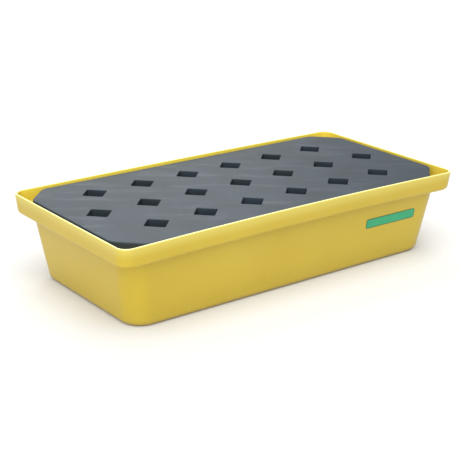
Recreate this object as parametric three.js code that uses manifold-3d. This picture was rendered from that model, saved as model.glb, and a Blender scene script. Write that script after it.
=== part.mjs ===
// Spill containment pallet: a low one-piece sump tray, a lift-out drain deck and a blank label.
// Millimetres, +Z up. The origin is the centre of the tray's underside, +X along its length.

import * as THREE from 'three';
import { mergeVertices } from 'three/addons/utils/BufferGeometryUtils.js';
import Module from 'manifold-3d';

// Tray: the rim band, the drafted wall below it and the floor.
const RIM_LENGTH = 792;
const RIM_WIDTH = 393;
const RIM_TOP = 166.6;
const RIM_INNER_LENGTH = 783;
const RIM_INNER_WIDTH = 383.4;
const BAND_LEAN = 1.5;
const STEP_Z = 130;
const WALL_TOP_LENGTH = 751;
const WALL_TOP_WIDTH = 357;
const BASE_LENGTH = 709;
const BASE_WIDTH = 322;
const BASE_CORNER_RADIUS = 42;
const WALL_CORNER_RADIUS = 42;
const BAND_CORNER_RADIUS = 30;
const RIM_CORNER_RADIUS = 23;
const INNER_CORNER_RADIUS = 20;
const WALL_THICKNESS = 5;
const FLOOR_THICKNESS = 5;
const LEDGE_Z = 142;
const BASE_EDGE_RADIUS = 12;
const BAND_EDGE_RADIUS = 6.5;
const RIM_EDGE_RADIUS = 2.5;
const RIM_INNER_EDGE_RADIUS = 1.2;
const INSIDE_RADIUS = 10;

// The long rim sides come out of the mould pulled in and lifted a little at mid-length.
const RIM_BOW = 3.6;
const RIM_RISE = 3.1;

// Deck: a chamfered plate, open underneath, with square drain holes set on their corners.
const DECK_LENGTH = 768;
const DECK_WIDTH = 367.6;
const DECK_TOP = 164.6;
const DECK_CHAMFER_X = 49.4;
const DECK_CHAMFER_Y = 47.5;
const DECK_CORNER_RADIUS = 9;
const DECK_EDGE_ROUND = 2.2;
const DECK_SKIN = 5;
const DECK_SKIRT = 6;
const RIB_THICKNESS = 4;
const HOLE_SIDE = 38.3;
const HOLE_RADIUS = 3;
const HOLE_PITCH_X = 107;
const HOLE_ROW_Y = 104.4;
const COLLAR_WALL = 4.5;
const PART_GAP = 0.3;

// Label on the front wall.
const LABEL_LENGTH = 130;
const LABEL_HEIGHT = 20;
const LABEL_THICKNESS = 0.5;
const LABEL_RADIUS = 4;
const LABEL_X = 243;
const LABEL_Z = 90;

// Facet counts.
const CORNER_STEPS = 7;
const LONG_STEPS = 10;
const EDGE_STEPS = 3;

const wasm = await Module();
wasm.setup();

function material(color, roughness) {
  return new THREE.MeshStandardMaterial({ color, roughness, metalness: 0 });
}

function namedMesh(name, geometry, colour) {
  geometry.computeVertexNormals();
  const mesh = new THREE.Mesh(geometry, colour);
  mesh.name = name;
  return mesh;
}

function welded(geometry) {
  geometry.deleteAttribute('normal');
  geometry.deleteAttribute('uv');
  return mergeVertices(geometry, 1e-4);
}

function solidOf(geometry) {
  const merged = welded(geometry);
  return new wasm.Manifold(new wasm.Mesh({
    numProp: 3,
    vertProperties: new Float32Array(merged.attributes.position.array),
    triVerts: new Uint32Array(merged.index.array),
  }));
}

function geometryOf(solid) {
  const mesh = solid.getMesh();
  const geometry = new THREE.BufferGeometry();
  geometry.setAttribute('position', new THREE.BufferAttribute(mesh.vertProperties, 3));
  geometry.setIndex(new THREE.BufferAttribute(mesh.triVerts, 1));
  return geometry;
}

// A polygon's corners, each rounded by a quadratic curve that starts `radius` before the corner.
function roundedOutline(corners, radius, steps) {
  const shape = new THREE.Shape();
  corners.forEach((corner, i) => {
    const before = corners[(i + corners.length - 1) % corners.length];
    const after = corners[(i + 1) % corners.length];
    const start = corner.clone().add(before.clone().sub(corner).setLength(radius));
    const end = corner.clone().add(after.clone().sub(corner).setLength(radius));
    if (i === 0) shape.moveTo(start.x, start.y);
    else shape.lineTo(start.x, start.y);
    shape.quadraticCurveTo(corner.x, corner.y, end.x, end.y);
  });
  shape.closePath();
  return { shape, steps };
}

function prism(outline, bottom, top) {
  const geometry = new THREE.ExtrudeGeometry(outline.shape, {
    depth: top - bottom,
    bevelEnabled: false,
    curveSegments: outline.steps,
  });
  geometry.translate(0, 0, bottom);
  return geometry;
}

function rectangle(length, width) {
  const x = length / 2;
  const y = width / 2;
  return [[-x, -y], [x, -y], [x, y], [-x, y]].map(([a, b]) => new THREE.Vector2(a, b));
}

// One level of the tray: a rounded rectangle at a height, with its share of the rim's warp.
function ring(length, width, z, radius, bow, rise) {
  return { length, width, z, radius, bow, rise };
}

// Rings along a quarter turn between two levels, which leaves the first one upright or flat.
function quarter(from, to, leavesVertically) {
  const rings = [];
  for (let i = 1; i < EDGE_STEPS; i += 1) {
    const angle = (i / EDGE_STEPS) * Math.PI / 2;
    const along = leavesVertically ? 1 - Math.cos(angle) : Math.sin(angle);
    const up = leavesVertically ? Math.sin(angle) : 1 - Math.cos(angle);
    rings.push(ring(
      THREE.MathUtils.lerp(from.length, to.length, along),
      THREE.MathUtils.lerp(from.width, to.width, along),
      THREE.MathUtils.lerp(from.z, to.z, up),
      THREE.MathUtils.lerp(from.radius, to.radius, along),
      THREE.MathUtils.lerp(from.bow, to.bow, up),
      THREE.MathUtils.lerp(from.rise, to.rise, up),
    ));
  }
  return [from, ...rings, to];
}

// The outside wall's size at a height, between the base and the step under the rim.
function wallRing(z, inset, radius) {
  const share = z / STEP_Z;
  return ring(
    THREE.MathUtils.lerp(BASE_LENGTH, WALL_TOP_LENGTH, share) - 2 * inset,
    THREE.MathUtils.lerp(BASE_WIDTH, WALL_TOP_WIDTH, share) - 2 * inset,
    z, radius, share, 0,
  );
}

// The rim band's size: its outside face leans out slightly from the step to the top.
function bandRing(z, inset) {
  const share = (RIM_TOP - z) / (RIM_TOP - STEP_Z);
  const lean = BAND_LEAN * share;
  const radius = THREE.MathUtils.lerp(RIM_CORNER_RADIUS, BAND_CORNER_RADIUS, share);
  return ring(
    RIM_LENGTH - 2 * (lean + inset), RIM_WIDTH - 2 * (lean + inset), z, radius - inset, 1, 1,
  );
}

function rimInnerRing(z, grow, rise) {
  return ring(
    RIM_INNER_LENGTH + 2 * grow, RIM_INNER_WIDTH + 2 * grow, z,
    INNER_CORNER_RADIUS + grow, 1, rise,
  );
}

function trayRings() {
  const base = BASE_EDGE_RADIUS;
  const edge = BAND_EDGE_RADIUS;
  const top = RIM_EDGE_RADIUS;
  const lip = RIM_INNER_EDGE_RADIUS;
  const inside = INSIDE_RADIUS;
  const inner = WALL_CORNER_RADIUS - WALL_THICKNESS;
  const stepTop = wallRing(STEP_Z, 0, WALL_CORNER_RADIUS);
  return [
    ...quarter(
      wallRing(0, base, BASE_CORNER_RADIUS - base), wallRing(base, 0, BASE_CORNER_RADIUS), false,
    ),
    wallRing(STEP_Z - 3, 0, WALL_CORNER_RADIUS),
    ring(stepTop.length + 6, stepTop.width + 6, STEP_Z, WALL_CORNER_RADIUS, 1, 1),
    ...quarter(bandRing(STEP_Z, edge), bandRing(STEP_Z + edge, 0), false),
    ...quarter(bandRing(RIM_TOP - top, 0), bandRing(RIM_TOP, top), true),
    ...quarter(rimInnerRing(RIM_TOP, lip, 1), rimInnerRing(RIM_TOP - lip, 0, 1), false),
    ...quarter(rimInnerRing(LEDGE_Z + 3, 0, 0), rimInnerRing(LEDGE_Z, -3, 0), true),
    ...quarter(
      wallRing(LEDGE_Z, WALL_THICKNESS - 3, inner + 3), wallRing(LEDGE_Z - 4, WALL_THICKNESS, inner),
      false,
    ),
    ...quarter(
      wallRing(FLOOR_THICKNESS + inside, WALL_THICKNESS, inner),
      wallRing(FLOOR_THICKNESS, WALL_THICKNESS + inside, inner - inside),
      true,
    ),
  ];
}

// Plan points of a ring, counter-clockwise from the front-left end of the front side.
function ringPoints(level) {
  const x = level.length / 2 - level.radius;
  const y = level.width / 2 - level.radius;
  const centres = [[x, -y], [x, y], [-x, y], [-x, -y]];
  const points = [];
  centres.forEach(([cx, cy], corner) => {
    for (let i = 0; i <= CORNER_STEPS; i += 1) {
      const angle = (corner - 1 + i / CORNER_STEPS) * Math.PI / 2;
      points.push([cx + level.radius * Math.cos(angle), cy + level.radius * Math.sin(angle)]);
    }
    if (corner === 1 || corner === 3) {
      const from = points[points.length - 1][0];
      for (let i = 1; i < LONG_STEPS; i += 1) {
        points.push([THREE.MathUtils.lerp(from, -from, i / LONG_STEPS), Math.sign(cy) * level.width / 2]);
      }
    }
  });
  return points;
}

// The warp is greatest at mid-length and dies away to nothing at the short sides.
function warped(level, [x, y]) {
  const swell = 1 - (2 * x / level.length) ** 2;
  const side = 2 * Math.abs(y) / level.width;
  return [
    x,
    y * (1 - 2 * RIM_BOW * level.bow * swell / level.width),
    level.z + RIM_RISE * level.rise * swell * side,
  ];
}

// A lathe's grid of vertices, with every turn of the lathe laid onto a ring of the tray.
function sumpTray() {
  const levels = trayRings();
  const columns = ringPoints(levels[0]).length;
  const profile = levels.map((level) => new THREE.Vector2(level.length / 2, level.z));
  profile.unshift(new THREE.Vector2(0, 0));
  profile.push(new THREE.Vector2(0, FLOOR_THICKNESS));
  const geometry = new THREE.LatheGeometry(profile, columns);
  const position = geometry.attributes.position;
  const outlines = levels.map(ringPoints);
  for (let column = 0; column <= columns; column += 1) {
    for (let row = 0; row < profile.length; row += 1) {
      const level = levels[row - 1];
      const point = level ? warped(level, outlines[row - 1][column % columns]) : [0, 0, profile[row].y];
      position.setXYZ(column * profile.length + row, ...point);
    }
  }
  return geometryOf(solidOf(geometry));
}

function deckOutline(inset) {
  const x = DECK_LENGTH / 2 - inset;
  const y = DECK_WIDTH / 2 - inset;
  const slope = Math.hypot(DECK_CHAMFER_X, DECK_CHAMFER_Y);
  const cutX = DECK_CHAMFER_X - inset * (1 + (DECK_CHAMFER_X - slope) / DECK_CHAMFER_Y);
  const cutY = DECK_CHAMFER_Y - inset * (1 + (DECK_CHAMFER_Y - slope) / DECK_CHAMFER_X);
  return [
    [-x + cutX, -y], [x - cutX, -y], [x, -y + cutY], [x, y - cutY],
    [x - cutX, y], [-x + cutX, y], [-x, y - cutY], [-x, -y + cutY],
  ].map(([a, b]) => new THREE.Vector2(a, b));
}

// Three rows of holes: six, seven and six, the middle row half a pitch along from the others.
function holeCentres() {
  const centres = [];
  [[-HOLE_ROW_Y, 6], [0, 7], [HOLE_ROW_Y, 6]].forEach(([y, count]) => {
    for (let i = 0; i < count; i += 1) {
      centres.push([(i - (count - 1) / 2) * HOLE_PITCH_X, y]);
    }
  });
  return centres;
}

function squareOnCorner(side, radius, bottom, top, [x, y]) {
  const geometry = prism(roundedOutline(rectangle(side, side), radius, 2), bottom, top);
  geometry.rotateZ(Math.PI / 4);
  geometry.translate(x, y, 0);
  return solidOf(geometry);
}

function box(x, y, z, centre) {
  const geometry = new THREE.BoxGeometry(x, y, z);
  geometry.translate(...centre);
  return solidOf(geometry);
}

function deckPlate(bottom) {
  const outline = roundedOutline(deckOutline(DECK_EDGE_ROUND), DECK_CORNER_RADIUS, 3);
  const geometry = new THREE.ExtrudeGeometry(outline.shape, {
    depth: DECK_TOP - bottom - 2 * DECK_EDGE_ROUND,
    bevelThickness: DECK_EDGE_ROUND,
    bevelSize: DECK_EDGE_ROUND,
    bevelSegments: 2,
    curveSegments: outline.steps,
  });
  geometry.translate(0, 0, bottom + DECK_EDGE_ROUND);
  return solidOf(geometry);
}

// Everything that is hollow under the deck's skin: the plate less its skirt, ribs and hole collars.
function deckPockets(bottom, ceiling) {
  const reach = 5;
  const middle = (bottom + ceiling) / 2;
  const depth = ceiling - bottom + 2 * reach;
  let pockets = solidOf(
    prism(roundedOutline(deckOutline(DECK_SKIRT), DECK_CORNER_RADIUS - 3, 2), bottom - reach, ceiling),
  );
  for (let i = -6; i <= 6; i += 1) {
    const x = i * HOLE_PITCH_X / 2;
    pockets = pockets.subtract(box(RIB_THICKNESS, DECK_WIDTH, depth, [x, 0, middle]));
  }
  [-HOLE_ROW_Y, 0, HOLE_ROW_Y].forEach((y) => {
    pockets = pockets.subtract(box(DECK_LENGTH, RIB_THICKNESS, depth, [0, y, middle]));
  });
  holeCentres().forEach((centre) => {
    const side = HOLE_SIDE + 2 * COLLAR_WALL;
    pockets = pockets.subtract(
      squareOnCorner(side, HOLE_RADIUS + COLLAR_WALL, bottom - 2 * reach, ceiling + reach, centre),
    );
  });
  return pockets;
}

function drainDeck() {
  const bottom = LEDGE_Z + PART_GAP;
  const reach = 5;
  let deck = deckPlate(bottom).subtract(deckPockets(bottom, DECK_TOP - DECK_SKIN));
  holeCentres().forEach((centre) => {
    deck = deck.subtract(
      squareOnCorner(HOLE_SIDE, HOLE_RADIUS, bottom - reach, DECK_TOP + reach, centre),
    );
  });
  return geometryOf(deck);
}

// A thin plate lying on the front wall, turned to the wall's lean and bow.
function frontLabel() {
  const outline = roundedOutline(rectangle(LABEL_LENGTH, LABEL_HEIGHT), LABEL_RADIUS, 3);
  const mesh = namedMesh(
    'front_label', prism(outline, PART_GAP, PART_GAP + LABEL_THICKNESS), material(0x1f9a6c, 0.45),
  );
  const wallPoint = (x, z) => {
    const level = wallRing(z, 0, WALL_CORNER_RADIUS);
    return new THREE.Vector3(...warped(level, [x, -level.width / 2]));
  };
  const along = wallPoint(LABEL_X + LABEL_LENGTH / 2, LABEL_Z)
    .sub(wallPoint(LABEL_X - LABEL_LENGTH / 2, LABEL_Z)).normalize();
  const slope = wallPoint(LABEL_X, LABEL_Z + 10).sub(wallPoint(LABEL_X, LABEL_Z - 10)).normalize();
  const outward = along.clone().cross(slope).normalize();
  const upward = outward.clone().cross(along);
  mesh.quaternion.setFromRotationMatrix(new THREE.Matrix4().makeBasis(along, upward, outward));
  mesh.position.copy(wallPoint(LABEL_X, LABEL_Z));
  return mesh;
}

const pallet = new THREE.Group();
pallet.add(
  namedMesh('sump_tray', sumpTray(), material(0xe0bd3c, 0.5)),
  namedMesh('drain_deck', drainDeck(), material(0x6b747c, 0.6)),
  frontLabel(),
);

export default pallet;
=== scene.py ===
import math

import bmesh
import bpy
from mathutils import Matrix, Vector


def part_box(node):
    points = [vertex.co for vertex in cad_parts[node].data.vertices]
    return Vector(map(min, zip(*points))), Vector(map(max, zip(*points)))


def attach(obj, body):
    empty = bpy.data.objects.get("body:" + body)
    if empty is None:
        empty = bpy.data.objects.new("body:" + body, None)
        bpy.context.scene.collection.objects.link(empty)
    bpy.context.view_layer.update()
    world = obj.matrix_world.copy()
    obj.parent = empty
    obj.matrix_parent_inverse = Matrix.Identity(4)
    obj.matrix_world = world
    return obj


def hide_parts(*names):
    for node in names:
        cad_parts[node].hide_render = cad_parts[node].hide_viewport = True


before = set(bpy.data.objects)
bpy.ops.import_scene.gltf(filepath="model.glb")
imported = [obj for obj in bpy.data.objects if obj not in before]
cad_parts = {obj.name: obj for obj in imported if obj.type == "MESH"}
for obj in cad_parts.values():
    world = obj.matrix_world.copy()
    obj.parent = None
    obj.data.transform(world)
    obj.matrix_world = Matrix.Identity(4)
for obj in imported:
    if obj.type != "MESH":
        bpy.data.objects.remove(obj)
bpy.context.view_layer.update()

# Camera: a long lens that looks down across the tray's front left corner, a little off level.
VIEW_AZIMUTH = math.radians(-37.43)
VIEW_ELEVATION = math.radians(19.68)
VIEW_ROLL = math.radians(0.70)
VIEW_DISTANCE = 2.352
VIEW_PAN = (-0.0200, 0.0615)
LENS = 92.2

look_back = Vector((
    math.sin(VIEW_AZIMUTH) * math.cos(VIEW_ELEVATION),
    -math.cos(VIEW_AZIMUTH) * math.cos(VIEW_ELEVATION),
    math.sin(VIEW_ELEVATION),
))
level_right = Vector((math.cos(VIEW_AZIMUTH), math.sin(VIEW_AZIMUTH), 0))
level_up = look_back.cross(level_right)
right = math.cos(VIEW_ROLL) * level_right + math.sin(VIEW_ROLL) * level_up
up = math.cos(VIEW_ROLL) * level_up - math.sin(VIEW_ROLL) * level_right
place = look_back * VIEW_DISTANCE + level_right * VIEW_PAN[0] + level_up * VIEW_PAN[1]
camera = bpy.data.objects.new("camera", bpy.data.cameras.new("camera"))
camera.data.lens = LENS
camera.data.clip_end = 100
camera.matrix_world = Matrix.Translation(place) @ Matrix((right, up, look_back)).transposed().to_4x4()
bpy.context.scene.collection.objects.link(camera)
bpy.context.scene.camera = camera

# Floor: the pale studio sweep that the pallet stands on, a plain matt sheet far wider than the view.
FLOOR_WIDTH = 40
FLOOR_COLOUR = (0.730, 0.728, 0.724)


def deselect_all():
    if bpy.context.mode != "OBJECT":
        bpy.ops.object.mode_set(mode="OBJECT")
    bpy.ops.object.select_all(action="DESELECT")


def new_material(name):
    material = bpy.data.materials.new(name)
    material.use_nodes = True
    return material, material.node_tree.nodes, material.node_tree.links


deselect_all()
bpy.ops.mesh.primitive_plane_add(size=FLOOR_WIDTH)
floor = bpy.context.active_object
floor.name = "floor"
floor_finish, nodes, links = new_material("matt_floor")
nodes["Principled BSDF"].inputs["Base Color"].default_value = (*FLOOR_COLOUR, 1)
nodes["Principled BSDF"].inputs["Roughness"].default_value = 0.9
nodes["Principled BSDF"].inputs["Specular IOR Level"].default_value = 0.1
floor.data.materials.append(floor_finish)

# Lights: a dim white room under a wide overhead silk, a softbox low at the front left, a pale panel
# that the deck mirrors, and a smaller, harder softbox high behind that draws the edges.
ROOM_STRENGTH = 0.50
SILK_STRENGTH = 2.80
SILK_SPREAD = math.radians(70)
SILK_TILT = (math.radians(18), math.radians(-14), 0)
SOFTBOXES = (
    ("front_softbox", (-2.3, -2.1, 0.9), (0, 0, 0.1), 1.5, 33),
    ("rear_panel", (1.3, 3.3, 1.95), (0, 0, 0.1), 3.0, 23),
    ("edge_softbox", (0.9, 1.6, 2.2), (0, 0, 0.1), 1.0, 14),
)

silk = bpy.data.objects.new("overhead_silk", bpy.data.lights.new("overhead_silk", "SUN"))
silk.data.energy = SILK_STRENGTH
silk.data.angle = SILK_SPREAD
silk.rotation_euler = SILK_TILT
bpy.context.scene.collection.objects.link(silk)
world = bpy.data.worlds.new("studio_room")
bpy.context.scene.world = world
world.use_nodes = True
world.node_tree.nodes["Background"].inputs["Color"].default_value = (1, 1, 1, 1)
world.node_tree.nodes["Background"].inputs["Strength"].default_value = ROOM_STRENGTH
for name, position, target, size, power in SOFTBOXES:
    softbox = bpy.data.objects.new(name, bpy.data.lights.new(name, "AREA"))
    softbox.data.shape = "SQUARE"
    softbox.data.size = size
    softbox.data.energy = power
    softbox.location = position
    softbox.rotation_euler = (Vector(target) - Vector(position)).to_track_quat("-Z", "Y").to_euler()
    bpy.context.scene.collection.objects.link(softbox)
bpy.context.scene.view_settings.view_transform = "Standard"

# Sump tray: one moulded piece of yellow polyethylene. The wall leans out to a step,
# which carries the deck on its inner side, and a rim band stands round the top.
tray_low, tray_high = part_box("sump_tray")
BASE_RADIUS = 0.042
WALL_RADIUS = 0.042
BAND_RADIUS = 0.030
RIM_RADIUS = 0.023
INNER_RADIUS = 0.020
CORNER_SEGMENTS = 16
LONG_CUTS = 15
RIM_BOW = 0.0036
RIM_RISE = 0.0031
BAND_LEAN = 0.0015
STEP_HEIGHT = 0.130
LEDGE_HEIGHT = 0.142
RIM_WALL_X = 0.0045
RIM_WALL_Y = 0.0048
STEP_WIDTH_X = 0.0205
STEP_WIDTH_Y = 0.018
WALL_LEAN_X = 0.021
WALL_LEAN_Y = 0.0175
WALL = 0.005
HAIR = 0.00005
BAND_ROUNDING = 0.0065
RIM_ROUNDING = 0.0025
BASE_ROUNDING = 0.012
FLOOR_ROUNDING = 0.010
LEDGE_ROUNDING = 0.003
STEP_ROUNDING = 0.0025
INNER_RIM_ROUNDING = 0.0012
LARGEST_ROUNDING = BASE_ROUNDING
ROUNDING_SEGMENTS = 5
FLAT_FACE_WEIGHT = 80

rim_z = tray_high.z - RIM_RISE - HAIR
lean_to_widest = BAND_LEAN * RIM_ROUNDING / (rim_z - STEP_HEIGHT)
rim_x = tray_high.x + lean_to_widest - HAIR
rim_y = tray_high.y + lean_to_widest - HAIR + RIM_BOW * (1 - ((rim_x - RIM_RADIUS) / rim_x) ** 2)


def rounded_sheet(name, half_x, half_y, z, radius):
    """A flat sheet with round corners, cut across so that its long sides can bow later."""
    deselect_all()
    bpy.ops.mesh.primitive_plane_add(size=2)
    sheet = bpy.context.active_object
    sheet.name = name
    bpy.ops.object.mode_set(mode="EDIT")
    bpy.context.tool_settings.mesh_select_mode = (True, False, False)
    bpy.ops.transform.resize(value=(half_x, half_y, 1), center_override=(0, 0, 0))
    bpy.ops.transform.translate(value=(0, 0, z))
    bpy.ops.mesh.bevel(offset=radius, segments=CORNER_SEGMENTS, affect="VERTICES")
    mesh = bmesh.from_edit_mesh(sheet.data)
    for element in (*mesh.faces, *mesh.edges, *mesh.verts):
        element.select = False
    for edge in mesh.edges:
        if edge.calc_length() > half_x:
            edge.select_set(True)
    bmesh.update_edit_mesh(sheet.data)
    bpy.ops.mesh.subdivide(number_cuts=LONG_CUTS)
    bpy.ops.mesh.select_all(action="SELECT")
    return sheet


def mark_ring(piece, rounding, bow, rise):
    """Notes on the selected ring how far its edge is rounded and how the mould's warp moves it."""
    mesh = bmesh.from_edit_mesh(piece.data)
    roundness = mesh.edges.layers.float.get("bevel_weight_edge")
    if roundness is None:
        roundness = mesh.edges.layers.float.new("bevel_weight_edge")
    pull = mesh.verts.layers.float.get("pull") or mesh.verts.layers.float.new("pull")
    lift = mesh.verts.layers.float.get("lift") or mesh.verts.layers.float.new("lift")
    ring = [vert for vert in mesh.verts if vert.select]
    half_x = max(vert.co.x for vert in ring)
    half_y = max(vert.co.y for vert in ring)
    for edge in mesh.edges:
        if sum(face.select for face in edge.link_faces) == 1:
            edge[roundness] = rounding / LARGEST_ROUNDING
        elif any(vert.select for vert in edge.verts):
            edge[roundness] = 0
    for vert in ring:
        swell = (1 - (vert.co.x / half_x) ** 2) * abs(vert.co.y) / half_y
        vert[pull] = -math.copysign(RIM_BOW * bow * swell, vert.co.y)
        vert[lift] = RIM_RISE * rise * swell
    bmesh.update_edit_mesh(piece.data)


def use_verts(piece, chosen):
    """In edit mode, selects the vertices whose number and place `chosen` says yes to."""
    mesh = bmesh.from_edit_mesh(piece.data)
    for vert in mesh.verts:
        vert.select_set(chosen(vert.index, vert.co))
    mesh.select_flush_mode()
    bmesh.update_edit_mesh(piece.data)


def raise_level(piece, dx, dy, dz, rounding, bow, rise, corner):
    """Extrudes the selected end by dz, moves its four sides out by dx and dy, and marks its ring.

    `corner` is the radius of its round corners before and after.
    """
    bpy.ops.mesh.extrude_region_move(TRANSFORM_OT_translate={"value": (0, 0, dz)})
    mesh = bmesh.from_edit_mesh(piece.data)
    ring = {vert.index for vert in mesh.verts if vert.select}
    for axis, side, step in ((0, 1, dx), (0, -1, dx), (1, 1, dy), (1, -1, dy)):
        use_verts(piece, lambda index, co: index in ring and co[axis] * side > 1e-6)
        move = Vector((0, 0, 0))
        move[axis] = side * step
        bpy.ops.transform.translate(value=move)
    change_corners(piece, ring, *corner)
    use_verts(piece, lambda index, co: index in ring)
    mark_ring(piece, rounding, bow, rise)


def change_corners(piece, ring, before, after):
    """Scales a ring's corner arcs about their centres to a new radius, and keeps its sides in line."""
    mesh = bmesh.from_edit_mesh(piece.data)
    places = [vert.co.copy() for vert in mesh.verts if vert.index in ring]
    centre_x = max(place.x for place in places) - before
    centre_y = max(place.y for place in places) - before
    for side_x, side_y in ((1, 1), (1, -1), (-1, -1), (-1, 1)):
        use_verts(piece, lambda index, co: (
            index in ring and co.x * side_x > centre_x - 1e-5 and co.y * side_y > centre_y - 1e-5
        ))
        bpy.ops.transform.resize(
            value=(after / before, after / before, 1),
            center_override=(centre_x * side_x, centre_y * side_y, places[0].z),
        )
        shift = before - after
        bpy.ops.transform.translate(value=(shift * side_x, shift * side_y, 0))


# It is drawn up from the base in one run: up the wall, out along the step, up the band, in over
# the rim, down to the ledge, in along the ledge and down the inside to the floor.
wall_top_x = rim_x - STEP_WIDTH_X
wall_top_y = rim_y - STEP_WIDTH_Y
ledge_x = rim_x - RIM_WALL_X - (wall_top_x - WALL)
ledge_y = rim_y - RIM_WALL_Y - (wall_top_y - WALL)
tray = rounded_sheet(
    "tray_shell", wall_top_x - WALL_LEAN_X, wall_top_y - WALL_LEAN_Y, 0, BASE_RADIUS,
)
mark_ring(tray, BASE_ROUNDING, 0, 0)
raise_level(
    tray, WALL_LEAN_X, WALL_LEAN_Y, STEP_HEIGHT, STEP_ROUNDING, 1, 1, (BASE_RADIUS, WALL_RADIUS),
)
raise_level(
    tray, STEP_WIDTH_X - BAND_LEAN, STEP_WIDTH_Y - BAND_LEAN, 0, BAND_ROUNDING, 1, 1,
    (WALL_RADIUS, BAND_RADIUS),
)
raise_level(
    tray, BAND_LEAN, BAND_LEAN, rim_z - STEP_HEIGHT, RIM_ROUNDING, 1, 1, (BAND_RADIUS, RIM_RADIUS),
)
raise_level(tray, -RIM_WALL_X, -RIM_WALL_Y, 0, INNER_RIM_ROUNDING, 1, 1, (RIM_RADIUS, INNER_RADIUS))
raise_level(tray, 0, 0, LEDGE_HEIGHT - rim_z, LEDGE_ROUNDING, 1, 0, (INNER_RADIUS, INNER_RADIUS))
raise_level(tray, -ledge_x, -ledge_y, 0, LEDGE_ROUNDING, 1, 0, (INNER_RADIUS, WALL_RADIUS - WALL))
raise_level(
    tray, -WALL_LEAN_X, -WALL_LEAN_Y, WALL - LEDGE_HEIGHT, FLOOR_ROUNDING, 0, 0,
    (WALL_RADIUS - WALL, WALL_RADIUS - WALL),
)
bpy.ops.mesh.select_all(action="SELECT")
bpy.ops.mesh.normals_make_consistent(inside=False)
bpy.ops.object.mode_set(mode="OBJECT")

# The warp it takes as it comes out of the mould goes in before its edges are rounded.
for vert, pull, lift in zip(
    tray.data.vertices, tray.data.attributes["pull"].data, tray.data.attributes["lift"].data,
):
    vert.co.y += pull.value
    vert.co.z += lift.value
rounding = tray.modifiers.new("round_edges", "BEVEL")
rounding.limit_method = "WEIGHT"
rounding.width = LARGEST_ROUNDING
rounding.segments = ROUNDING_SEGMENTS
bpy.ops.object.modifier_apply(modifier=rounding.name)
bpy.ops.object.shade_smooth()
flats = tray.modifiers.new("keep_flats", "WEIGHTED_NORMAL")
flats.weight = FLAT_FACE_WEIGHT
bpy.ops.object.modifier_apply(modifier=flats.name)


def add_node(nodes, kind, inputs=None, **settings):
    item = nodes.new(kind)
    for name, value in settings.items():
        setattr(item, name, value)
    for name, value in (inputs or {}).items():
        item.inputs[name].default_value = value
    return item


def new_effect(name, inputs, outputs):
    """A shared node group that takes a place, and hands out masks and heights only."""
    group = bpy.data.node_groups.new(name, "ShaderNodeTree")
    group.interface.new_socket("Vector", in_out="INPUT", socket_type="NodeSocketVector")
    for socket in inputs:
        group.interface.new_socket(socket, in_out="INPUT", socket_type="NodeSocketFloat")
    for socket in outputs:
        group.interface.new_socket(socket, in_out="OUTPUT", socket_type="NodeSocketFloat")
    entry = group.nodes.new("NodeGroupInput")
    way_out = group.nodes.new("NodeGroupOutput")
    return group, group.nodes, group.links, entry, way_out


def use_effect(nodes, links, group, place, inputs):
    item = nodes.new("ShaderNodeGroup")
    item.node_tree = group
    links.new(place, item.inputs["Vector"])
    for name, value in inputs.items():
        item.inputs[name].default_value = value
    return item


def mixed_colour(nodes, links, mask, first, second):
    """Blends from the first colour, or a colour output, to the second where the mask is white."""
    mix = add_node(nodes, "ShaderNodeMix", data_type="RGBA")
    links.new(mask, mix.inputs["Factor"])
    if isinstance(first, tuple):
        mix.inputs[6].default_value = (*first, 1)
    else:
        links.new(first, mix.inputs[6])
    mix.inputs[7].default_value = (*second, 1)
    return mix.outputs[2]


# The moulded skin: the mould's fine grain and a slow swell as height, and the resin's cloudiness.
skin, nodes, links, entry, way_out = new_effect("moulded_skin", ("Grain", "Swell"), ("Height", "Cloud"))
grain = add_node(nodes, "ShaderNodeTexNoise", {"Detail": 2, "Roughness": 0.6})
swell = add_node(nodes, "ShaderNodeTexNoise", {"Detail": 3, "Roughness": 0.55})
links.new(entry.outputs["Vector"], grain.inputs["Vector"])
links.new(entry.outputs["Grain"], grain.inputs["Scale"])
links.new(entry.outputs["Vector"], swell.inputs["Vector"])
links.new(entry.outputs["Swell"], swell.inputs["Scale"])
height = add_node(nodes, "ShaderNodeMath", {1: 0.12}, operation="MULTIPLY_ADD")
links.new(grain.outputs["Fac"], height.inputs[0])
links.new(swell.outputs["Fac"], height.inputs[2])
cloud = add_node(nodes, "ShaderNodeMapRange", {"From Min": 0.25, "From Max": 0.75})
links.new(swell.outputs["Fac"], cloud.inputs["Value"])
links.new(height.outputs[0], way_out.inputs["Height"])
links.new(cloud.outputs["Result"], way_out.inputs["Cloud"])

# Handling marks: long thin rubs, drawn out along X of the place that is fed in.
rubs, nodes, links, entry, way_out = new_effect("rub_marks", ("Fineness", "Cover"), ("Mask",))
stretch = add_node(nodes, "ShaderNodeMapping", {"Scale": (0.2, 1, 1)})
streak = add_node(nodes, "ShaderNodeTexNoise", {"Detail": 4, "Roughness": 0.65, "Distortion": 0.3})
links.new(entry.outputs["Vector"], stretch.inputs["Vector"])
links.new(stretch.outputs["Vector"], streak.inputs["Vector"])
links.new(entry.outputs["Fineness"], streak.inputs["Scale"])
least = add_node(nodes, "ShaderNodeMath", {0: 0.72}, operation="SUBTRACT")
links.new(entry.outputs["Cover"], least.inputs[1])
mask = add_node(nodes, "ShaderNodeMapRange", {"From Max": 0.74})
links.new(streak.outputs["Fac"], mask.inputs["Value"])
links.new(least.outputs[0], mask.inputs["From Min"])
links.new(mask.outputs["Result"], way_out.inputs["Mask"])
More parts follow.
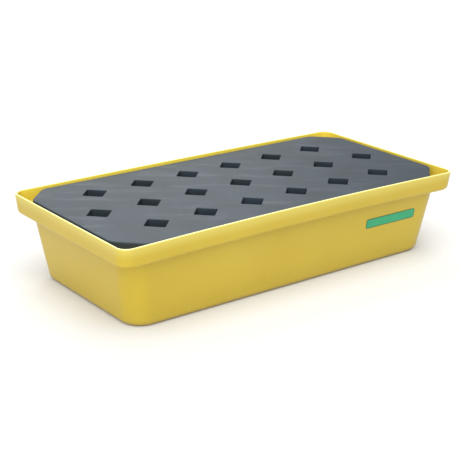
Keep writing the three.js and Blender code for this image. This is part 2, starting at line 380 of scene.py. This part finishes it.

# Dust and painted shade: patchy, strongest at the level Low and gone at the level High.
dust_and_shade, nodes, links, entry, way_out = new_effect("dust_and_painted_shade", ("Low", "High"), ("Mask",))
split = nodes.new("ShaderNodeSeparateXYZ")
band = add_node(nodes, "ShaderNodeMapRange", {"To Min": 1, "To Max": 0}, interpolation_type="SMOOTHSTEP")
patch = add_node(nodes, "ShaderNodeTexNoise", {"Scale": 30, "Detail": 5, "Roughness": 0.7})
links.new(entry.outputs["Vector"], split.inputs["Vector"])
links.new(split.outputs["Z"], band.inputs["Value"])
links.new(entry.outputs["Low"], band.inputs["From Min"])
links.new(entry.outputs["High"], band.inputs["From Max"])
links.new(entry.outputs["Vector"], patch.inputs["Vector"])
patchy_band = add_node(nodes, "ShaderNodeMath", operation="MULTIPLY")
links.new(band.outputs["Result"], patchy_band.inputs[0])
links.new(patch.outputs["Fac"], patchy_band.inputs[1])
links.new(patchy_band.outputs[0], way_out.inputs["Mask"])

# Its plastic is a slightly cloudy golden yellow with a satin skin, paler where it has been rubbed, and
# painted darker towards the floor in dust-like patches, which is painted shade where it meets the floor.
SKIN_GRAIN = 1400
RELIEF_STRENGTH = 0.35
RELIEF_DEPTH = 0.0006
TRAY_RUB_SHARE = 0.25
TRAY_SHADE_AND_DUST_SHARE = 0.6
TRAY_SHADE_AND_DUST_TOP = 0.060
TRAY_YELLOW = (0.49, 0.35, 0.018)
TRAY_YELLOW_PALE = (0.525, 0.386, 0.028)
TRAY_RUBBED = (0.62, 0.50, 0.12)
# The next colours: painted shade towards the floor in dust-like patches, painted light through the wall, a
# painted sheen for the band and a painted highlight for the rim.
TRAY_SHADE_AND_DUST = (0.40, 0.285, 0.030)
TRAY_INSIDE = (0.96, 0.74, 0.085)
TRAY_BAND_PAINTED_SHEEN = (0.62, 0.515, 0.095)
TRAY_RIM_PAINTED_HIGHLIGHT = (0.96, 0.90, 0.42)
tray_finish, nodes, links = new_material("moulded_yellow")
surface = nodes["Principled BSDF"]
place = add_node(nodes, "ShaderNodeTexCoord").outputs["Object"]
tray_skin = use_effect(nodes, links, skin, place, {"Grain": SKIN_GRAIN, "Swell": 9})
tray_rubs = use_effect(nodes, links, rubs, place, {"Fineness": 160, "Cover": 0.06})
tray_shade_and_dust = use_effect(nodes, links, dust_and_shade, place, {"Low": 0.0, "High": TRAY_SHADE_AND_DUST_TOP})
colour = mixed_colour(nodes, links, tray_skin.outputs["Cloud"], TRAY_YELLOW, TRAY_YELLOW_PALE)
rub_strength = add_node(nodes, "ShaderNodeMath", {1: TRAY_RUB_SHARE}, operation="MULTIPLY")
links.new(tray_rubs.outputs["Mask"], rub_strength.inputs[0])
colour = mixed_colour(nodes, links, rub_strength.outputs[0], colour, TRAY_RUBBED)
# Painted shade: the tray is painted darker towards the floor, in patches like settled dust.
dust_and_shade_strength = add_node(nodes, "ShaderNodeMath", {1: TRAY_SHADE_AND_DUST_SHARE}, operation="MULTIPLY")
links.new(tray_shade_and_dust.outputs["Mask"], dust_and_shade_strength.inputs[0])
colour = mixed_colour(nodes, links, dust_and_shade_strength.outputs[0], colour, TRAY_SHADE_AND_DUST)

# The band's top is painted paler as a painted sheen, and the rim's upward faces get a painted highlight.
# Faces that look inwards get a brighter yellow, which stands in for light coming through the thin wall.
split = nodes.new("ShaderNodeSeparateXYZ")
links.new(place, split.inputs["Vector"])
normal = add_node(nodes, "ShaderNodeNewGeometry").outputs["Normal"]
# Painted sheen: the band is painted paler towards its top, where its rounding catches the light.
band_painted_sheen = add_node(nodes, "ShaderNodeMapRange", {
    "From Min": STEP_HEIGHT + 0.015, "From Max": tray_high.z, "To Max": 0.9,
}, interpolation_type="SMOOTHSTEP")
links.new(split.outputs["Z"], band_painted_sheen.inputs["Value"])
colour = mixed_colour(nodes, links, band_painted_sheen.outputs["Result"], colour, TRAY_BAND_PAINTED_SHEEN)
level = add_node(nodes, "ShaderNodeVectorMath", {1: (1, 1, 0)}, operation="MULTIPLY")
links.new(place, level.inputs[0])
facing = add_node(nodes, "ShaderNodeVectorMath", operation="DOT_PRODUCT")
links.new(level.outputs["Vector"], facing.inputs[0])
links.new(normal, facing.inputs[1])
inside = add_node(nodes, "ShaderNodeMapRange", {
    "From Min": -0.04, "From Max": -0.14, "To Max": 0.95,
}, interpolation_type="SMOOTHSTEP")
links.new(facing.outputs["Value"], inside.inputs["Value"])
colour = mixed_colour(nodes, links, inside.outputs["Result"], colour, TRAY_INSIDE)
# Painted highlight: upward faces on top of the rim are painted a near-white yellow.
turned = nodes.new("ShaderNodeSeparateXYZ")
links.new(normal, turned.inputs["Vector"])
upward = add_node(nodes, "ShaderNodeMapRange", {"From Min": 0.6, "From Max": 0.95})
links.new(turned.outputs["Z"], upward.inputs["Value"])
on_rim = add_node(nodes, "ShaderNodeMath", {1: rim_z - RIM_ROUNDING}, operation="GREATER_THAN")
links.new(split.outputs["Z"], on_rim.inputs[0])
rim_painted_highlight = add_node(nodes, "ShaderNodeMath", operation="MULTIPLY")
links.new(upward.outputs["Result"], rim_painted_highlight.inputs[0])
links.new(on_rim.outputs[0], rim_painted_highlight.inputs[1])
colour = mixed_colour(nodes, links, rim_painted_highlight.outputs[0], colour, TRAY_RIM_PAINTED_HIGHLIGHT)
links.new(colour, surface.inputs["Base Color"])
satin = add_node(nodes, "ShaderNodeMapRange", {"To Min": 0.30, "To Max": 0.37})
links.new(tray_skin.outputs["Cloud"], satin.inputs["Value"])
links.new(satin.outputs["Result"], surface.inputs["Roughness"])
relief = add_node(nodes, "ShaderNodeBump", {"Strength": RELIEF_STRENGTH, "Distance": RELIEF_DEPTH})
links.new(tray_skin.outputs["Height"], relief.inputs["Height"])
links.new(relief.outputs["Normal"], surface.inputs["Normal"])
tray.data.materials.clear()
tray.data.materials.append(tray_finish)
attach(tray, "tray")
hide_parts("sump_tray")

# Drain deck: a loose grey polyethylene plate, chamfered at its corners and pierced with square holes
# set on their corners. It is ribbed and open underneath, rests on the tray's ledge and lifts out.
deck_low, deck_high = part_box("drain_deck")
CHAMFER = 0.0485
DECK_CORNER = 0.009
DECK_TOP_ROUND = 0.0022
DECK_SKIN = 0.005
DECK_SKIRT = 0.006
RIB = 0.004
HOLE_SIDE = 0.0383
HOLE_CORNER = 0.003
HOLE_LIP = 0.0011
HOLE_PITCH = 0.107
ROW_PITCH = 0.1044
COLLAR = 0.0045
PAST = 0.004
hole_places = [
    ((i - (count - 1) / 2) * HOLE_PITCH, row * ROW_PITCH)
    for row, count in ((-1, 6), (0, 7), (1, 6)) for i in range(count)
]


def plate(name, inset, bottom, top):
    """A chamfered plate with slightly rounded corners, drawn up from a flat sheet."""
    deselect_all()
    bpy.ops.mesh.primitive_plane_add(size=2)
    piece = bpy.context.active_object
    piece.name = name
    bpy.ops.object.mode_set(mode="EDIT")
    bpy.context.tool_settings.mesh_select_mode = (True, False, False)
    bpy.ops.transform.resize(
        value=(deck_high.x - inset, deck_high.y - inset, 1), center_override=(0, 0, 0),
    )
    bpy.ops.transform.translate(value=(0, 0, bottom))
    bpy.ops.mesh.bevel(offset=CHAMFER - inset * (2 - math.sqrt(2)), segments=1, affect="VERTICES")
    bpy.ops.mesh.bevel(offset=DECK_CORNER, segments=4, affect="VERTICES")
    bpy.ops.mesh.extrude_region_move(TRANSFORM_OT_translate={"value": (0, 0, top - bottom)})
    bpy.ops.mesh.select_all(action="SELECT")
    bpy.ops.mesh.normals_make_consistent(inside=False)
    return piece


def square_posts(name, side, corner, bottom, top):
    """Square posts set on their corners, one at every hole, with rounded upright edges."""
    deselect_all()
    bpy.ops.mesh.primitive_cube_add(size=1)
    posts = bpy.context.active_object
    posts.name = name
    bpy.ops.object.mode_set(mode="EDIT")
    bpy.ops.transform.resize(value=(side, side, top - bottom), center_override=(0, 0, 0))
    bpy.ops.transform.translate(value=(0, 0, (bottom + top) / 2))
    bpy.ops.transform.rotate(value=math.pi / 4, orient_axis="Z", center_override=(0, 0, 0))
    bpy.context.tool_settings.mesh_select_mode = (False, True, False)
    mesh = bmesh.from_edit_mesh(posts.data)
    for edge in mesh.edges:
        upright = abs(edge.verts[0].co.z - edge.verts[1].co.z) > 1e-4
        edge.select_set(upright)
    bmesh.update_edit_mesh(posts.data)
    bpy.ops.mesh.bevel(offset=corner, segments=4, affect="EDGES")
    bpy.ops.mesh.select_all(action="SELECT")
    bpy.ops.transform.translate(value=(*hole_places[0], 0))
    for before, after in zip(hole_places, hole_places[1:]):
        step = (after[0] - before[0], after[1] - before[1], 0)
        bpy.ops.mesh.duplicate_move(TRANSFORM_OT_translate={"value": step})
    return posts


def cut(piece, tool):
    """Cuts the tool's shape out of the piece and throws the tool away."""
    deselect_all()
    piece.select_set(True)
    bpy.context.view_layer.objects.active = piece
    cutting = piece.modifiers.new("cut", "BOOLEAN")
    cutting.operation = "DIFFERENCE"
    cutting.solver = "EXACT"
    cutting.object = tool
    bpy.ops.object.modifier_apply(modifier=cutting.name)
    bpy.data.objects.remove(tool)


deck = plate("deck_plate", 0, deck_low.z, deck_high.z)
bpy.context.tool_settings.mesh_select_mode = (False, True, False)
mesh = bmesh.from_edit_mesh(deck.data)
for edge in mesh.edges:
    edge.select_set(all(abs(vert.co.z - deck_high.z) < 1e-6 for vert in edge.verts))
bmesh.update_edit_mesh(deck.data)
bpy.ops.mesh.bevel(offset=DECK_TOP_ROUND, segments=4, affect="EDGES")

pockets = plate("deck_pockets", DECK_SKIRT, deck_low.z - PAST, deck_high.z - DECK_SKIN)
rib_height = deck_high.z - deck_low.z + 2 * PAST
rib_middle = (deck_high.z + deck_low.z) / 2
cut(pockets, square_posts(
    "hole_collars", HOLE_SIDE + 2 * COLLAR, HOLE_CORNER + COLLAR, deck_low.z - 2 * PAST, deck_high.z,
))
ribs = [((i * HOLE_PITCH / 2, 0), (RIB, 2 * deck_high.y)) for i in range(-6, 7)]
ribs += [((0, row * ROW_PITCH), (2 * deck_high.x, RIB)) for row in (-1, 0, 1)]
for (x, y), (size_x, size_y) in ribs:
    deselect_all()
    bpy.ops.mesh.primitive_cube_add(size=1, location=(x, y, rib_middle), scale=(size_x, size_y, rib_height))
    cut(pockets, bpy.context.active_object)
cut(deck, pockets)
cut(deck, square_posts("hole_cores", HOLE_SIDE, HOLE_CORNER, deck_low.z - PAST, deck_high.z + PAST))

# The lip of each hole is eased, where a flat top face meets an upright hole face.
bpy.ops.object.mode_set(mode="EDIT")
mesh = bmesh.from_edit_mesh(deck.data)
bpy.context.tool_settings.mesh_select_mode = (False, True, False)
for edge in mesh.edges:
    faces = sorted(abs(face.normal.z) for face in edge.link_faces)
    on_top = all(abs(vert.co.z - deck_high.z) < 1e-6 for vert in edge.verts)
    edge.select_set(on_top and len(faces) == 2 and faces[0] < 0.1 and faces[1] > 0.99)
bmesh.update_edit_mesh(deck.data)
bpy.ops.mesh.bevel(offset=HOLE_LIP, segments=3, affect="EDGES")
bpy.ops.object.mode_set(mode="OBJECT")
bpy.ops.object.shade_smooth_by_angle(angle=math.radians(35))
flats = deck.modifiers.new("keep_flats", "WEIGHTED_NORMAL")
flats.weight = FLAT_FACE_WEIGHT
flats.keep_sharp = True
bpy.ops.object.modifier_apply(modifier=flats.name)

# Its plastic is a near-black slate grey; what shows on top is mostly the sheen of its satin skin,
# wiped into long faint streaks.
DECK_GREY = (0.016, 0.024, 0.030)
DECK_GREY_PALE = (0.030, 0.045, 0.062)
DECK_RUBBED = (0.070, 0.100, 0.130)
DECK_DUST = (0.10, 0.09, 0.07)
DECK_RUB_SHARE = 0.22
DECK_DUST_SHARE = 0.1
DECK_RUB_TURN = math.radians(37)
deck_finish, nodes, links = new_material("moulded_grey")
surface = nodes["Principled BSDF"]
place = add_node(nodes, "ShaderNodeTexCoord").outputs["Object"]
slanted = add_node(nodes, "ShaderNodeMapping", {"Rotation": (0, 0, DECK_RUB_TURN)})
links.new(place, slanted.inputs["Vector"])
deck_skin = use_effect(nodes, links, skin, place, {"Grain": SKIN_GRAIN, "Swell": 12})
deck_rubs = use_effect(nodes, links, rubs, slanted.outputs["Vector"], {"Fineness": 32, "Cover": 0.2})
deck_dust = use_effect(nodes, links, dust_and_shade, place, {"Low": deck_low.z - 0.01, "High": deck_high.z})
colour = mixed_colour(nodes, links, deck_skin.outputs["Cloud"], DECK_GREY, DECK_GREY_PALE)
rub_strength = add_node(nodes, "ShaderNodeMath", {1: DECK_RUB_SHARE}, operation="MULTIPLY")
links.new(deck_rubs.outputs["Mask"], rub_strength.inputs[0])
colour = mixed_colour(nodes, links, rub_strength.outputs[0], colour, DECK_RUBBED)
dust_and_shade_strength = add_node(nodes, "ShaderNodeMath", {1: DECK_DUST_SHARE}, operation="MULTIPLY")
links.new(deck_dust.outputs["Mask"], dust_and_shade_strength.inputs[0])
colour = mixed_colour(nodes, links, dust_and_shade_strength.outputs[0], colour, DECK_DUST)
links.new(colour, surface.inputs["Base Color"])
satin = add_node(nodes, "ShaderNodeMapRange", {"To Min": 0.50, "To Max": 0.38})
links.new(deck_rubs.outputs["Mask"], satin.inputs["Value"])
links.new(satin.outputs["Result"], surface.inputs["Roughness"])
relief = add_node(nodes, "ShaderNodeBump", {"Strength": RELIEF_STRENGTH, "Distance": RELIEF_DEPTH})
links.new(deck_skin.outputs["Height"], relief.inputs["Height"])
links.new(relief.outputs["Normal"], surface.inputs["Normal"])
surface.inputs["Specular Tint"].default_value = (0.86, 0.96, 1.0, 1)
deck.data.materials.clear()
deck.data.materials.append(deck_finish)
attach(deck, "deck")
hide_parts("drain_deck")

# Front label: a blank printed vinyl film with a thin dark border and nothing written on it, a little
# worn by wiping. It is glued near the right end of the front wall and follows the wall's lean.
label_low, label_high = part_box("front_label")
LABEL_LENGTH = 0.130
LABEL_HEIGHT = 0.020
LABEL_CORNER = 0.004
LABEL_BORDER = 0.0014
LABEL_FILM = 0.0003
LABEL_GREEN = (0.010, 0.30, 0.12)
LABEL_GREEN_PALE = (0.022, 0.36, 0.16)
LABEL_INK = (0.004, 0.085, 0.035)
LABEL_RUBBED = (0.14, 0.44, 0.26)
LABEL_RUB_SHARE = 0.3

label_x = (label_low.x + label_high.x) / 2
label_z = (label_low.z + label_high.z) / 2
wall_share = label_z / STEP_HEIGHT
wall_half_x = wall_top_x - WALL_LEAN_X * (1 - wall_share)
wall_half_y = wall_top_y - WALL_LEAN_Y * (1 - wall_share)
wall_bow = RIM_BOW * wall_share * (1 - (label_x / wall_half_x) ** 2)
bow_turn = math.atan(2 * RIM_BOW * wall_share * label_x / wall_half_x ** 2)
lean_turn = math.atan(WALL_LEAN_Y / STEP_HEIGHT)
deselect_all()
bpy.ops.mesh.primitive_plane_add(size=2)
label = bpy.context.active_object
label.name = "label_film"
bpy.ops.object.mode_set(mode="EDIT")
bpy.context.tool_settings.mesh_select_mode = (True, False, False)
bpy.ops.transform.resize(value=(LABEL_LENGTH / 2, LABEL_HEIGHT / 2, 1), center_override=(0, 0, 0))
bpy.ops.mesh.bevel(offset=LABEL_CORNER, segments=6, affect="VERTICES")
bpy.ops.mesh.extrude_region_move(TRANSFORM_OT_translate={"value": (0, 0, LABEL_FILM)})
bpy.ops.mesh.inset(thickness=LABEL_BORDER)
bpy.ops.object.mode_set(mode="OBJECT")
label.data.transform(
    Matrix.Translation((label_x, wall_bow - wall_half_y, label_z))
    @ Matrix.Rotation(-bow_turn, 4, "Z") @ Matrix.Rotation(math.pi / 2 + lean_turn, 4, "X")
)
label_finish, nodes, links = new_material("label_green")
surface = nodes["Principled BSDF"]
place = add_node(nodes, "ShaderNodeTexCoord").outputs["Object"]
label_skin = use_effect(nodes, links, skin, place, {"Grain": SKIN_GRAIN, "Swell": 40})
label_rubs = use_effect(nodes, links, rubs, place, {"Fineness": 220, "Cover": 0.12})
colour = mixed_colour(nodes, links, label_skin.outputs["Cloud"], LABEL_GREEN, LABEL_GREEN_PALE)
label_place = add_node(nodes, "ShaderNodeVectorMath", {1: (label_x, 0, label_z)}, operation="SUBTRACT")
links.new(place, label_place.inputs[0])
from_middle = add_node(nodes, "ShaderNodeVectorMath", operation="ABSOLUTE")
links.new(label_place.outputs["Vector"], from_middle.inputs[0])
apart = nodes.new("ShaderNodeSeparateXYZ")
links.new(from_middle.outputs["Vector"], apart.inputs["Vector"])
on_end = add_node(nodes, "ShaderNodeMath", {1: LABEL_LENGTH / 2 - LABEL_BORDER}, operation="GREATER_THAN")
links.new(apart.outputs["X"], on_end.inputs[0])
on_side = add_node(nodes, "ShaderNodeMath", {1: LABEL_HEIGHT / 2 - LABEL_BORDER}, operation="GREATER_THAN")
links.new(apart.outputs["Z"], on_side.inputs[0])
border = add_node(nodes, "ShaderNodeMath", operation="MAXIMUM")
links.new(on_end.outputs[0], border.inputs[0])
links.new(on_side.outputs[0], border.inputs[1])
colour = mixed_colour(nodes, links, border.outputs[0], colour, LABEL_INK)
rub_strength = add_node(nodes, "ShaderNodeMath", {1: LABEL_RUB_SHARE}, operation="MULTIPLY")
links.new(label_rubs.outputs["Mask"], rub_strength.inputs[0])
colour = mixed_colour(nodes, links, rub_strength.outputs[0], colour, LABEL_RUBBED)
links.new(colour, surface.inputs["Base Color"])
satin = add_node(nodes, "ShaderNodeMapRange", {"To Min": 0.38, "To Max": 0.48})
links.new(label_skin.outputs["Cloud"], satin.inputs["Value"])
links.new(satin.outputs["Result"], surface.inputs["Roughness"])
relief = add_node(nodes, "ShaderNodeBump", {"Strength": 0.2, "Distance": 0.0003})
links.new(label_skin.outputs["Height"], relief.inputs["Height"])
links.new(relief.outputs["Normal"], surface.inputs["Normal"])
label.data.materials.clear()
label.data.materials.append(label_finish)
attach(label, "tray")
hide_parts("front_label")
